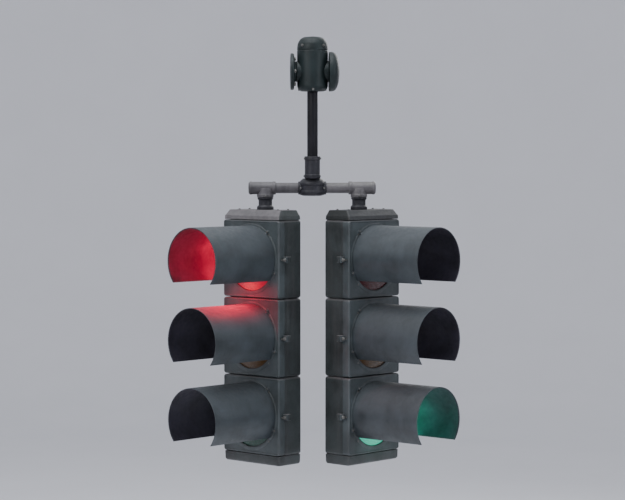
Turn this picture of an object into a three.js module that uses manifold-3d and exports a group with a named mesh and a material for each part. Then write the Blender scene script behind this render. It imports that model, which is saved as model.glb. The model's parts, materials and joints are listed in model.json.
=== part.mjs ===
// A two-way traffic signal cluster that hangs from the end of a mast arm.
// Two heads of three signal sections each hang from a two-arm spider on a drop pipe. The whole cluster
// swings on a pivot at the mast arm's end, each head can be aimed on its nipple, and each door opens.
// Millimetres, +Z up, -Y is the front. The origin is the centre of the flange face on the mast arm.

import * as THREE from 'three';
import { mergeVertices } from 'three/addons/utils/BufferGeometryUtils.js';
import Module from 'manifold-3d';

const wasm = await Module();
wasm.setup();

// ---- Driving dimensions ----

const GAP = 0.3; // clearance kept between pieces that meet
const TURNING_GAP = 0.8; // and round a shaft that turns in its bore
const SIDES = 16; // flats round every pipe, shaft and bore, so that they nest

const SECTION_PITCH = 355.6; // one 12-inch signal section
const SECTION_COUNT = 3;
const HEAD_WIDTH = 350;
const HEAD_CENTRE_Z = -1205;
const CROWN = 44; // the caps on a head's ends, above and below its three sections

const HOUSING_DEPTH = 114;
const HOUSING_WALL = 5;
const CORNER_RADIUS = 12;

const DOOR_DEPTH = 39.7;
const DOOR_WALL = 5;
const DOOR_HEIGHT = 352;
const LENS_OPENING_RADIUS = 146;
const LENS_RADIUS = 151;
const LENS_RISE = 24;

const VISOR_RADIUS = 152;
const VISOR_WALL = 2.5;
const VISOR_LENGTH = 376;
const VISOR_GAP_ANGLE = THREE.MathUtils.degToRad(50.8); // half of the open bottom

const HINGE_OFFSET = 183; // from the head's centreline out to the hinge axis
const HINGE_SETBACK = 5; // from the housing's front edge forward to the hinge axis
const HINGE_HEIGHT = 110; // from the section's middle to each hinge
const HINGE_RADIUS = 7;
const PIN_RADIUS = 3.5;
const PIN_CLEARANCE = 0.4;
const KNUCKLE_REACH = 12; // half of the height of a door's knuckle
const LUG_REACH = 19; // from the middle of a hinge to the outer face of a lug's plate
const LATCH_OFFSET = 189;
const LATCH_SHANK_RADIUS = 4;
const LATCH_LUG_DEPTH = 13; // of the door's lug; the housing's is a little deeper
const LATCH_LUG_RISE = 14; // above and below the section's middle
const LATCH_LUG_ROOT = 172; // from the head's centreline out to where the lugs grow from the walls
const LATCH_LUG_MARGIN = 10; // from the screw's axis to the lugs' outer edge

const HEAD_YAW = Math.PI / 4; // each head faces this far to its own side
const NIPPLE_OFFSET = 214; // from the drop pipe's axis out to each nipple
const ARM_REACH = 292;
const ARM_Z = -529;
const TEE_RADIUS = 30;
const TEE_LENGTH = 126;
const PIPE_RADIUS = 24.15; // nominal 1 1/2 inch pipe
const PIPE_BORE = 20.4;

const DROP_X = 100; // from the flange face out to the drop pipe's axis
const BALANCE_OFFSET = 37; // how far back the hub is set, so that the cluster hangs plumb
const AXLE_RADIUS = 25;
const AXLE_BORE = 19;
const HANGER_RADIUS = 70;
const BOSS_REACH = 74; // from the hanger's axis out to each bearing's face
const HANGER_TOP = 160;
const HANGER_BOTTOM = -90;
const ADJUSTER_TOP = -384;
const ADJUSTER_BOTTOM = -485;
const ADJUSTER_RADIUS = 36;
const HUB_BOTTOM = -565;
const HUB_RADIUS = 61;
const STUB_GAP = 2.5; // from the adjuster's middle to the pipe's end above and the stub's below

const HOUSING_FRONT = -HOUSING_DEPTH / 2;
const HOUSING_BACK = HOUSING_DEPTH / 2;
const DOOR_BACK = HOUSING_FRONT - GAP;
const DOOR_FRONT = DOOR_BACK - DOOR_DEPTH;
const VISOR_BACK = DOOR_FRONT - GAP;
const VISOR_FRONT = DOOR_FRONT - VISOR_LENGTH;
const LENS_SEAT = DOOR_FRONT + DOOR_WALL + GAP;
const HINGE_Y = HOUSING_FRONT - HINGE_SETBACK;
const HEAD_TOP = HEAD_CENTRE_Z + (SECTION_PITCH * SECTION_COUNT) / 2 + CROWN;
const ADJUSTER_MIDDLE = (ADJUSTER_TOP + ADJUSTER_BOTTOM) / 2;
const AXLE_END = DROP_X + BOSS_REACH + 32;
const SECTION_EDGE = SECTION_PITCH / 2;
const SECTION_HEIGHT = SECTION_PITCH - 2 * GAP;

// ---- Materials ----

function material(color, roughness, metalness) {
  return new THREE.MeshStandardMaterial({ color, roughness, metalness });
}

const bodyGrey = () => material(0x3b413f, 0.6, 0);
const visorGrey = () => material(0x4a5358, 0.5, 0);
const castGrey = () => material(0x55605e, 0.55, 0.6);
const pipeBlack = () => material(0x2b2a2e, 0.5, 0.5);
const steel = () => material(0x9a9a98, 0.35, 1);
const mirror = () => material(0xd8d8d8, 0.1, 1);
const porcelain = () => material(0xd9d6cc, 0.4, 0);
const bulbGlass = () => material(0xe8e8e2, 0.2, 0);
const LENS_COLOURS = { top: 0xb4101c, middle: 0xc98a12, bottom: 0x0f8f62 };

// ---- Solids ----

// Closed geometry to a solid, turned right side out first.
function solid(geometry) {
  const plain = geometry.clone();
  plain.deleteAttribute('normal');
  plain.deleteAttribute('uv');
  const merged = mergeVertices(plain, 1e-4);
  const index = Uint32Array.from(merged.index.array);
  const points = merged.attributes.position;
  const [a, b, c] = [new THREE.Vector3(), new THREE.Vector3(), new THREE.Vector3()];
  let volume = 0;
  for (let i = 0; i < index.length; i += 3) {
    a.fromBufferAttribute(points, index[i]);
    b.fromBufferAttribute(points, index[i + 1]);
    c.fromBufferAttribute(points, index[i + 2]);
    volume += a.dot(b.cross(c));
  }
  if (volume < 0) {
    for (let i = 0; i < index.length; i += 3) {
      [index[i + 1], index[i + 2]] = [index[i + 2], index[i + 1]];
    }
  }
  const vertProperties = Float32Array.from(points.array);
  return new wasm.Manifold(new wasm.Mesh({ numProp: 3, vertProperties, triVerts: index }));
}

// A solid back to geometry, with its corners shared between faces.
function geometryOf(manifold) {
  const mesh = manifold.getMesh();
  const indexed = new THREE.BufferGeometry();
  indexed.setAttribute('position', new THREE.BufferAttribute(Float32Array.from(mesh.vertProperties), 3));
  indexed.setIndex(new THREE.BufferAttribute(Uint32Array.from(mesh.triVerts), 1));
  return indexed;
}

function join(solids) {
  return solids.reduce((all, next) => all.add(next));
}

function block(x0, x1, y0, y1, z0, z1) {
  const size = [Math.abs(x1 - x0), Math.abs(y1 - y0), Math.abs(z1 - z0)];
  const box = new THREE.BoxGeometry(...size);
  return solid(box.translate((x0 + x1) / 2, (y0 + y1) / 2, (z0 + z1) / 2));
}

// Turns points of (radius, height) about the Z axis.
function turned(points, sides = SIDES) {
  const profile = points.map(([radius, height]) => new THREE.Vector2(radius, height));
  return new THREE.LatheGeometry(profile, sides).rotateX(Math.PI / 2);
}

// The same about the X axis, where the heights run towards +X.
const turnedAlongX = (points, sides = SIDES) => turned(points, sides).rotateY(Math.PI / 2);

// The same about the Y axis, where the heights run towards -Y.
const turnedForward = (points, sides = SIDES) => turned(points, sides).rotateX(Math.PI / 2);

function rodProfile(radius, from, to) {
  return [[0, from], [radius, from], [radius, to], [0, to]];
}

function upright(radius, x, y, z0, z1, sides = SIDES) {
  return solid(turned(rodProfile(radius, z0, z1), sides).translate(x, y, 0));
}

function alongX(radius, x0, x1, z, sides = SIDES) {
  return solid(turnedAlongX(rodProfile(radius, x0, x1), sides).translate(0, 0, z));
}

function alongY(radius, x, y0, y1, z, sides = SIDES) {
  return solid(turnedForward(rodProfile(radius, -y0, -y1), sides).translate(x, 0, z));
}

// A rectangle with round corners, in the plane across Y.
function roundedOutline(width, height, radius, y) {
  const steps = 2;
  const outline = [];
  for (let corner = 0; corner < 4; corner += 1) {
    const right = corner === 0 || corner === 3 ? 1 : -1;
    const up = corner < 2 ? 1 : -1;
    for (let step = 0; step <= steps; step += 1) {
      const angle = (corner + step / steps) * (Math.PI / 2);
      const x = right * (width / 2 - radius) + radius * Math.cos(angle);
      const rise = up * (height / 2 - radius) + radius * Math.sin(angle);
      outline.push(new THREE.Vector3(x, y, rise));
    }
  }
  return outline;
}

// A section's outline, or one drawn in from it on every side, whose corners are tighter.
function drawnIn(width, height, inset, y) {
  const radius = Math.max(CORNER_RADIUS - inset, 3);
  return roundedOutline(width - 2 * inset, height - 2 * inset, radius, y);
}

// A closed solid through convex outlines that have equal numbers of points.
function loft(outlines) {
  const count = outlines[0].length;
  const positions = outlines.flat().flatMap((p) => [p.x, p.y, p.z]);
  const index = [];
  for (let ring = 0; ring + 1 < outlines.length; ring += 1) {
    for (let i = 0; i < count; i += 1) {
      const here = ring * count + i;
      const next = ring * count + ((i + 1) % count);
      index.push(here, next, here + count, next, next + count, here + count);
    }
  }
  const last = (outlines.length - 1) * count;
  for (let i = 1; i + 1 < count; i += 1) {
    index.push(0, i + 1, i, last, last + i, last + i + 1);
  }
  const geometry = new THREE.BufferGeometry();
  geometry.setAttribute('position', new THREE.Float32BufferAttribute(positions, 3));
  geometry.setIndex(index);
  return solid(geometry);
}

function tube(outer, inner, from, to) {
  return [[inner, from], [outer, from], [outer, to], [inner, to], [inner, from]];
}

// ---- One signal section, in the head's frame, about the section's middle ----

// One level of an end cap: a rectangle with its back corners cut off, drawn in by an inset.
function capOutline([front, inset, z]) {
  const half = HEAD_WIDTH / 2 - inset;
  const back = HOUSING_BACK - inset;
  const cut = 10;
  return [
    new THREE.Vector3(half, front, z),
    new THREE.Vector3(half, back - cut, z),
    new THREE.Vector3(half - cut, back, z),
    new THREE.Vector3(-half + cut, back, z),
    new THREE.Vector3(-half, back - cut, z),
    new THREE.Vector3(-half, front, z),
  ];
}

// The cap on a head's end: a hollow roof that overhangs the door, and a skirt that joins it to the end
// section. Up is 1 at the top and -1 at the bottom, where the cap is more like a box.
function capSolids(up) {
  const height = (above) => up * (SECTION_EDGE + above);
  const wall = HOUSING_WALL;
  const shoulder = up > 0 ? 18 : CROWN - 9;
  const lean = up > 0 ? 22 : 8;
  const [eaveFront, shoulderFront, rimFront] = [DOOR_FRONT + 2, DOOR_FRONT + 3, DOOR_FRONT + 3 + lean];
  const [eaveInset, shoulderInset, rimInset] = [3, 4, 4 + lean / 2];
  const [skirtFront, skirtInset] = [HOUSING_FRONT + 2, 8];
  const throughLevels = (levels) => loft(levels.map(capOutline));
  const outer = throughLevels([
    [eaveFront, eaveInset, height(GAP)],
    [shoulderFront, shoulderInset, height(shoulder)],
    [rimFront, rimInset, height(CROWN)],
  ]);
  const skirt = throughLevels([
    [skirtFront, skirtInset, height(-12)],
    [skirtFront, skirtInset, height(2)],
  ]);
  const roofSpace = throughLevels([
    [eaveFront + wall, eaveInset + wall, height(wall)],
    [shoulderFront + wall, shoulderInset + wall, height(shoulder - 1)],
    [rimFront + wall, rimInset + wall, height(CROWN - wall)],
  ]);
  const wayIn = throughLevels([
    [skirtFront + wall, skirtInset + wall, height(-20)],
    [skirtFront + wall, skirtInset + wall, height(8)],
  ]);
  return { outer: outer.add(skirt), inner: roofSpace.add(wayIn) };
}

// A flat plate between two heights, from points given outward from the hinge axis and back from it.
function hingePlate(side, points, z0, z1) {
  const corner = ([out, back]) => new THREE.Vector2(side * (HINGE_OFFSET + out), HINGE_Y + back);
  const shape = new THREE.Shape(points.map(corner));
  const plate = new THREE.ExtrudeGeometry(shape, { depth: z1 - z0, bevelEnabled: false });
  return solid(plate.translate(0, 0, z0));
}

// Two plates above and below each of the door's knuckles, and the pin that joins them.
function hingeLugs(side) {
  const outline = [
    [HINGE_RADIUS, -2.9], [2.9, -6.4], [-2.9, -6.4], [-6.4, -2.9], [-6.4, HINGE_SETBACK + 1],
    [-11, HINGE_SETBACK + 1], [-11, 24], [HINGE_RADIUS, 24],
  ];
  const lugs = [];
  const inner = KNUCKLE_REACH + PIN_CLEARANCE;
  for (const hingeZ of [-HINGE_HEIGHT, HINGE_HEIGHT]) {
    lugs.push(hingePlate(side, outline, hingeZ - LUG_REACH, hingeZ - inner));
    lugs.push(hingePlate(side, outline, hingeZ + inner, hingeZ + LUG_REACH));
    lugs.push(upright(PIN_RADIUS, side * HINGE_OFFSET, HINGE_Y, hingeZ - inner - 1, hingeZ + inner + 1, 8));
  }
  return join(lugs);
}

// The posts that the reflector's rim is screwed to.
function reflectorPosts() {
  const reach = 106;
  const half = 4;
  const posts = [];
  for (const x of [-reach, reach]) {
    for (const z of [-reach, reach]) {
      posts.push(block(x - half, x + half, HOUSING_FRONT + 5, HOUSING_BACK - 3, z - half, z + half));
    }
  }
  return join(posts);
}

// A lug beside the latch screw, between two depths.
function latchLug(side, y0, y1) {
  const edge = LATCH_OFFSET + LATCH_LUG_MARGIN;
  return block(-side * LATCH_LUG_ROOT, -side * edge, y0, y1, -LATCH_LUG_RISE, LATCH_LUG_RISE);
}

function housing(side, ends) {
  const drawn = (inset, y) => drawnIn(HEAD_WIDTH, SECTION_HEIGHT, inset, y);
  const backRound = 16;
  let shell = loft([
    drawn(0, HOUSING_FRONT),
    drawn(0, HOUSING_BACK - backRound),
    drawn(5, HOUSING_BACK - 4),
    drawn(14, HOUSING_BACK),
  ]);
  let cavity = loft([
    drawn(HOUSING_WALL, HOUSING_FRONT - 1),
    drawn(HOUSING_WALL, HOUSING_BACK - backRound - 2),
    drawn(HOUSING_WALL + 12, HOUSING_BACK - HOUSING_WALL),
  ]);
  for (const end of ends) {
    const cap = capSolids(end);
    shell = shell.add(cap.outer);
    cavity = cavity.add(cap.inner);
  }
  const lugBack = HOUSING_FRONT + 17;
  shell = join([shell, hingeLugs(side), latchLug(side, HOUSING_FRONT, lugBack)]).subtract(cavity);
  shell = shell.add(reflectorPosts());
  for (const up of [-1, 1]) {
    const wireway = 35;
    const [start, finish] = [up * (SECTION_EDGE - 8), up * (SECTION_EDGE + 1)];
    if (!ends.includes(up)) {
      shell = shell.subtract(upright(wireway, 0, 0, Math.min(start, finish), Math.max(start, finish), 12));
    }
  }
  if (ends.includes(1)) {
    const rim = SECTION_EDGE + CROWN;
    shell = shell.subtract(upright(PIPE_RADIUS + TURNING_GAP, 0, 0, rim - 12, rim + 1));
  }
  const boltHole = LATCH_SHANK_RADIUS + 0.7;
  return shell.subtract(alongY(boltHole, -side * LATCH_OFFSET, HOUSING_FRONT - 1, lugBack + 1, 0, 8));
}

function door(side) {
  const drawn = (inset, y) => drawnIn(HEAD_WIDTH - 2 * GAP, DOOR_HEIGHT, inset, y);
  const pan = loft([
    drawn(0, DOOR_BACK),
    drawn(0, DOOR_FRONT + 8),
    drawn(2, DOOR_FRONT + 2),
    drawn(6, DOOR_FRONT),
  ]);
  const hollow = loft([
    drawn(DOOR_WALL, DOOR_BACK + 1),
    drawn(DOOR_WALL, DOOR_FRONT + DOOR_WALL),
  ]);
  const knuckle = [
    [HINGE_RADIUS, -2.9], [2.9, -HINGE_RADIUS], [-11, -HINGE_RADIUS], [-11, 2.5],
    [-4, 5.5], [2.9, HINGE_RADIUS], [HINGE_RADIUS, 2.9],
  ];
  const lugFront = DOOR_BACK - LATCH_LUG_DEPTH;
  const lensHole = alongY(LENS_OPENING_RADIUS, 0, DOOR_FRONT - 1, DOOR_FRONT + DOOR_WALL + 1, 0, 28);
  const screwRadius = LATCH_SHANK_RADIUS + 0.5;
  const screwHole = alongY(screwRadius, -side * LATCH_OFFSET, lugFront - 1, DOOR_BACK + 1, 0, 8);
  let shape = join([pan, latchLug(side, lugFront, DOOR_BACK)]);
  for (const hingeZ of [-HINGE_HEIGHT, HINGE_HEIGHT]) {
    shape = shape.add(hingePlate(side, knuckle, hingeZ - KNUCKLE_REACH, hingeZ + KNUCKLE_REACH));
  }
  shape = shape.subtract(hollow).subtract(lensHole).subtract(screwHole);
  for (const hingeZ of [-HINGE_HEIGHT, HINGE_HEIGHT]) {
    const [low, high] = [hingeZ - KNUCKLE_REACH - 1, hingeZ + KNUCKLE_REACH + 1];
    const pinHole = upright(PIN_RADIUS + PIN_CLEARANCE, side * HINGE_OFFSET, HINGE_Y, low, high, 8);
    shape = shape.subtract(pinHole);
  }
  return shape;
}

// A tunnel hood that is open along its bottom, with four ears that are screwed to the door.
function visor() {
  const from = -Math.PI / 2 + VISOR_GAP_ANGLE;
  const to = (3 * Math.PI) / 2 - VISOR_GAP_ANGLE;
  const section = new THREE.Shape();
  section.absarc(0, 0, VISOR_RADIUS, from, to, false);
  section.absarc(0, 0, VISOR_RADIUS - VISOR_WALL, to, from, true);
  const depth = VISOR_BACK - VISOR_FRONT;
  const tunnel = new THREE.ExtrudeGeometry(section, { depth, bevelEnabled: false, curveSegments: 16 });
  const parts = [solid(tunnel.rotateX(Math.PI / 2).translate(0, VISOR_BACK, 0))];
  for (const angle of [-112, -40, 40, 112].map(THREE.MathUtils.degToRad)) {
    const ear = new THREE.BoxGeometry(16, VISOR_WALL, 19);
    ear.translate(0, VISOR_BACK - VISOR_WALL / 2, VISOR_RADIUS + 7);
    parts.push(solid(ear.rotateY(angle)));
  }
  return join(parts);
}

// A dished lens with a flat rim, which bulges forward through the door's opening.
function lens() {
  const rimFront = -LENS_SEAT;
  const rimBack = rimFront - 4;
  const dome = LENS_OPENING_RADIUS - 3;
  const bulge = (radius) => rimFront + LENS_RISE * (1 - (radius / dome) ** 2);
  const outer = [0, 84, dome].map((radius) => [radius, bulge(radius)]);
  const inner = [138, 80, 0].map((radius) => [radius, bulge(radius) - 5]);
  const rim = [[LENS_RADIUS, rimFront], [LENS_RADIUS, rimBack], [138, rimBack]];
  return turnedForward([...outer, ...rim, ...inner], 20);
}

// A bowl with a flat rim and a round hole for the lamp socket.
function reflector() {
  const rim = 53;
  const sheet = 2;
  const mouth = 140;
  const bowl = (radius) => rim - 82 * (1 - (radius / mouth) ** 2);
  const inside = [21, 90, mouth].map((radius) => [radius, bowl(radius) + sheet]);
  const outside = [mouth + sheet, 90, 21].map((radius) => [radius, bowl(radius)]);
  outside[0][1] = rim;
  const points = [...inside, [LENS_RADIUS, rim + sheet], [LENS_RADIUS, rim], ...outside];
  return turnedForward([...points, points[0]]);
}

function lampSocket() {
  const points = [[0, -51.5], [18, -51.5], [18, -26], [13.6, -26], [13.6, -46], [0, -46]];
  return turnedForward(points, 10);
}

function lamp() {
  const screw = [[0, -45], [13, -45], [13, -24]];
  const bulb = [[19, -14], [30, 4], [31, 18], [22, 36], [0, 44]];
  return turnedForward([...screw, ...bulb], 10);
}

// A captive wing screw that turns in the door's lug and reaches into the housing's.
function latch(side) {
  const x = -side * LATCH_OFFSET;
  const seat = DOOR_BACK - LATCH_LUG_DEPTH - GAP;
  const [headRadius, headHeight, wingReach, wingHeight] = [9, 5, 12.5, 17];
  return join([
    alongY(LATCH_SHANK_RADIUS, x, seat - 2, HOUSING_FRONT + 13, 0, 8),
    alongY(headRadius, x, seat - headHeight, seat, 0, 8),
    block(x - wingReach, x + wingReach, seat - wingHeight, seat - headHeight + 1, -2.5, 2.5),
  ]);
}

// ---- The hanger, in the object's frame ----

function mastArmFlange() {
  const bore = AXLE_RADIUS + GAP;
  const neck = DROP_X - BOSS_REACH - GAP;
  return turnedAlongX([
    [bore, 0], [83, 0], [83, 13], [80, 16], [46, 18], [46, neck], [bore, neck], [bore, 0],
  ]);
}

function pivotAxle() {
  return turnedAlongX(tube(AXLE_RADIUS, AXLE_BORE, 4, AXLE_END));
}

function endCap() {
  const start = DROP_X + BOSS_REACH + 1;
  const bore = AXLE_RADIUS + GAP;
  const dome = [[84, 0], [90, 0], [90, 14], [85, 26], [70, 37], [44, 44], [0, 47]];
  const inside = [[0, 33.3], [bore, 33.3], [bore, 12], [34, 12], [34, 35], [66, 28], [84, 12]];
  const points = [...dome, ...inside, dome[0]];
  return turnedAlongX(points.map(([radius, along]) => [radius, start + along]));
}

function hangerBody() {
  const barrel = [[0, HANGER_BOTTOM], [50, HANGER_BOTTOM], [64, -82], [HANGER_RADIUS, -68]];
  const dome = [[HANGER_RADIUS, 118], [62, 139], [46, 153], [0, HANGER_TOP]];
  const outer = solid(turned([...barrel, ...dome], 20));
  const inner = solid(turned([[0, -70], [54, -70], [62, -58], [62, 114], [42, 144], [0, 150]], 12));
  const bosses = [alongX(48, -BOSS_REACH, -50, 0), alongX(48, 50, BOSS_REACH, 0)];
  const bearings = [alongX(34, 1 - BOSS_REACH, -40, 0, 12), alongX(34, 40, BOSS_REACH - 1, 0, 12)];
  return join([outer, ...bosses])
    .subtract(inner)
    .add(join(bearings))
    .subtract(alongX(AXLE_RADIUS + TURNING_GAP, -BOSS_REACH - 1, BOSS_REACH + 1, 0))
    .subtract(upright(PIPE_RADIUS + GAP, 0, 0, HANGER_BOTTOM - 1, -58))
    .translate([DROP_X, 0, 0]);
}

function dropPipe() {
  return turned(tube(PIPE_RADIUS, PIPE_BORE, ADJUSTER_MIDDLE + STUB_GAP, -60)).translate(DROP_X, 0, 0);
}

// An offset coupling: the pipe enters its top, and the hub's stub enters its bottom further back.
function balanceAdjuster() {
  const radius = ADJUSTER_RADIUS;
  const bore = PIPE_RADIUS + GAP;
  return join([
    upright(radius, 0, 0, ADJUSTER_BOTTOM, ADJUSTER_TOP),
    upright(radius, 0, BALANCE_OFFSET, ADJUSTER_BOTTOM, ADJUSTER_TOP),
    block(-radius, radius, 0, BALANCE_OFFSET, ADJUSTER_BOTTOM, ADJUSTER_TOP),
  ])
    .subtract(upright(bore, 0, 0, ADJUSTER_MIDDLE - 4, ADJUSTER_TOP + 1))
    .subtract(upright(bore, 0, BALANCE_OFFSET, ADJUSTER_BOTTOM - 1, ADJUSTER_MIDDLE + 4))
    .translate([DROP_X, 0, 0]);
}

function spiderHub() {
  const radius = HUB_RADIUS;
  const neck = ADJUSTER_BOTTOM - GAP;
  const stubTop = ADJUSTER_MIDDLE - STUB_GAP;
  const foot = [[0, HUB_BOTTOM], [40, HUB_BOTTOM], [radius - 5, HUB_BOTTOM + 6], [radius, HUB_BOTTOM + 13]];
  const shoulder = [[radius, ARM_Z + 23], [radius - 7, ARM_Z + 33], [42, neck]];
  const stub = [[PIPE_RADIUS, neck], [PIPE_RADIUS, stubTop], [19, stubTop], [19, ARM_Z + 27]];
  const inside = [[46, ARM_Z + 19], [46, HUB_BOTTOM + 17], [0, HUB_BOTTOM + 9]];
  return solid(turned([...foot, ...shoulder, ...stub, ...inside]))
    .subtract(alongX(PIPE_RADIUS + GAP, -radius - 1, radius + 1, ARM_Z))
    .translate([DROP_X, BALANCE_OFFSET, 0]);
}

// An arm reaches out from the hub to a closed tee that its head hangs from.
function bracketArm(side) {
  const span = (from, to) => [Math.min(side * from, side * to), Math.max(side * from, side * to)];
  const reach = side * NIPPLE_OFFSET;
  const [inner, outer] = [ARM_REACH - TEE_LENGTH, ARM_REACH];
  const tee = turnedAlongX([
    [0, inner], [TEE_RADIUS - 4, inner], [TEE_RADIUS, inner + 6],
    [TEE_RADIUS, outer - 8], [TEE_RADIUS - 6, outer], [0, outer],
  ]);
  if (side < 0) {
    tee.rotateZ(Math.PI);
  }
  return join([
    alongX(PIPE_RADIUS, ...span(46, ARM_REACH - 20), ARM_Z),
    solid(tee.translate(0, 0, ARM_Z)),
    upright(38, reach, 0, ARM_Z - 43, ARM_Z),
  ])
    .subtract(alongX(PIPE_BORE, ...span(45, ARM_REACH - 10), ARM_Z))
    .subtract(upright(PIPE_RADIUS + GAP, reach, 0, ARM_Z - 44, ARM_Z))
    .translate([DROP_X, BALANCE_OFFSET, 0]);
}

// A threaded nipple with its collar above the head and its locknut inside the head's top.
function nipple(side) {
  const collarTop = ARM_Z - 43 - GAP;
  const collarFoot = HEAD_TOP + GAP;
  const nutTop = HEAD_TOP - HOUSING_WALL - GAP;
  const bore = 19;
  const points = [
    [bore, HEAD_TOP - 28], [PIPE_RADIUS, HEAD_TOP - 28], [PIPE_RADIUS, nutTop - 10], [33, nutTop - 10],
    [33, nutTop], [PIPE_RADIUS, nutTop], [PIPE_RADIUS, collarFoot], [38, collarFoot], [38, collarFoot + 14],
    [31, collarFoot + 20], [31, collarTop - 12], [36, collarTop - 6], [36, collarTop],
    [PIPE_RADIUS, collarTop], [PIPE_RADIUS, ARM_Z - 8], [bore, ARM_Z - 8], [bore, HEAD_TOP - 28],
  ];
  return turned(points).translate(DROP_X + side * NIPPLE_OFFSET, BALANCE_OFFSET, 0);
}

// ---- Assembly ----

const group = new THREE.Group();
group.name = 'traffic_signal';

function place(parent, name, shape, look) {
  const geometry = shape.isBufferGeometry ? geometryOf(solid(shape)) : geometryOf(shape);
  const mesh = new THREE.Mesh(geometry, look);
  mesh.name = name;
  parent.add(mesh);
  return mesh;
}

place(group, 'mast_arm_flange', mastArmFlange(), castGrey());
place(group, 'pivot_axle', pivotAxle(), steel());
place(group, 'end_cap', endCap(), castGrey());
place(group, 'hanger_body', hangerBody(), castGrey());
place(group, 'drop_pipe', dropPipe(), pipeBlack());
place(group, 'balance_adjuster', balanceAdjuster(), castGrey());
place(group, 'spider_hub', spiderHub(), castGrey());

const HEADS = [['left', -1], ['right', 1]];
const LEVELS = [['top', 1], ['middle', 0], ['bottom', -1]];

for (const [head, side] of HEADS) {
  place(group, `bracket_arm_${head}`, bracketArm(side), castGrey());
  place(group, `nipple_${head}`, nipple(side), castGrey());

  const headGroup = new THREE.Group();
  headGroup.position.set(DROP_X + side * NIPPLE_OFFSET, BALANCE_OFFSET, HEAD_CENTRE_Z);
  headGroup.rotation.z = side * HEAD_YAW;
  group.add(headGroup);

  for (const [level, step] of LEVELS) {
    const section = new THREE.Group();
    section.position.z = step * SECTION_PITCH;
    headGroup.add(section);
    const ends = step === 0 ? [] : [step];
    place(section, `housing_${head}_${level}`, housing(side, ends), bodyGrey());
    place(section, `door_${head}_${level}`, door(side), bodyGrey());
    place(section, `visor_${head}_${level}`, visor(), visorGrey());
    place(section, `lens_${head}_${level}`, lens(), material(LENS_COLOURS[level], 0.15, 0));
    place(section, `reflector_${head}_${level}`, reflector(), mirror());
    place(section, `lamp_socket_${head}_${level}`, lampSocket(), porcelain());
    place(section, `lamp_${head}_${level}`, lamp(), bulbGlass());
    place(section, `latch_${head}_${level}`, latch(side), steel());
  }
}

export default group;
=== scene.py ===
"""A two-way traffic signal cluster on its mast arm hanger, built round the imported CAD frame.

Sizes are in millimetres and are turned into metres where a mesh is made. Section pieces are drawn in
their head's own frame: X across the head, -Y out through the visor, Z up, from the section's middle.
"""

import json
import math

import bmesh
import bpy
from mathutils import Matrix, Vector


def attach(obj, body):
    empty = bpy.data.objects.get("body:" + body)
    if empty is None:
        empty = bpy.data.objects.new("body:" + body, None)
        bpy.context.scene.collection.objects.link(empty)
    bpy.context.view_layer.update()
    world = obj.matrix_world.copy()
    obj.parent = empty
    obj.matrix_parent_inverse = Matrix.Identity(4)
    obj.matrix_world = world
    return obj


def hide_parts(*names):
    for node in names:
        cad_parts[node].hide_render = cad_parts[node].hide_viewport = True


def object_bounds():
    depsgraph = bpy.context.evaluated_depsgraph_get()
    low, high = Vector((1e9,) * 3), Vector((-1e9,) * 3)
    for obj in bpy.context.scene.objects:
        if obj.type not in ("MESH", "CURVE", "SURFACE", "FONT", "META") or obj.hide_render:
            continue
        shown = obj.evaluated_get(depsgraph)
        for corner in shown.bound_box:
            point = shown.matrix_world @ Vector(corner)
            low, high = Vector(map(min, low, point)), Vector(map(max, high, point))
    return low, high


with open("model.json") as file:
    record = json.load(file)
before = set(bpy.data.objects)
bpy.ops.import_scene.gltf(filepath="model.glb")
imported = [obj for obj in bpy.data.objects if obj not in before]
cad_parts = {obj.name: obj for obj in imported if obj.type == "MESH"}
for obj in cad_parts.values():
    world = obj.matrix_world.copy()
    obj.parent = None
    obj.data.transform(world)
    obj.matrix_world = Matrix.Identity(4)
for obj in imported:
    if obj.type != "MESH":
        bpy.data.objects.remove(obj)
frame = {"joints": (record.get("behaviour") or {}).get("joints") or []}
cad_box = [list(corner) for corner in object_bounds()]

MM = 0.001
JOINTS = {joint["name"]: joint for joint in frame["joints"]}
HEADS = (("left", -1), ("right", 1))
LEVELS = (("top", 1), ("middle", 0), ("bottom", -1))
LENS_SLOTS = {"top": "lens_red", "middle": "lens_yellow", "bottom": "lens_green"}
LIT = (("left", "top"), ("right", "bottom"))

# ---- Driving sizes ----

GAP = 0.3
HEAD_WIDTH = 350
SECTION_PITCH = 355.6
CROWN = 44
HOUSING_HEIGHT = SECTION_PITCH - 0.6
HOUSING_FRONT = -57
HOUSING_BACK = 57
HOUSING_WALL = 5
CORNER = 12

DOOR_WIDTH = HEAD_WIDTH - 0.6
DOOR_HEIGHT = 352
DOOR_BACK = HOUSING_FRONT - GAP
DOOR_FRONT = -97
DOOR_WALL = 5
OPENING = 146
LENS_SEAT = DOOR_FRONT + DOOR_WALL + GAP
LENS_RADIUS = 151
LENS_DOME = 143
LENS_RISE = 24
POST_PLACE = 106

VISOR_RADIUS = 152
VISOR_WALL = 2.5
VISOR_BACK = DOOR_FRONT - GAP
VISOR_FRONT = DOOR_FRONT - 376
VISOR_HALF_GAP = 50.8
EAR_ANGLES = (-112, -40, 40, 112)
EAR_SCREW_RADIUS = 163

HINGE_X = 183
HINGE_Y = HOUSING_FRONT - 5
HINGE_Z = 110
HINGE_RADIUS = 7
KNUCKLE_REACH = 12
LUG_START = 12.4
LUG_THICKNESS = 6.6
PIN_RADIUS = 3.5
LATCH_X = 189
LATCH_LUG_ROOT = 172
LATCH_LUG_EDGE = LATCH_X + 10
LATCH_LUG_RISE = 14
LATCH_LUG_DEPTH = 13
LATCH_SEAT = DOOR_BACK - LATCH_LUG_DEPTH - GAP
LATCH_TIP = HOUSING_FRONT + 13
LATCH_SHANK = LATCH_TIP - LATCH_SEAT

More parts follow.
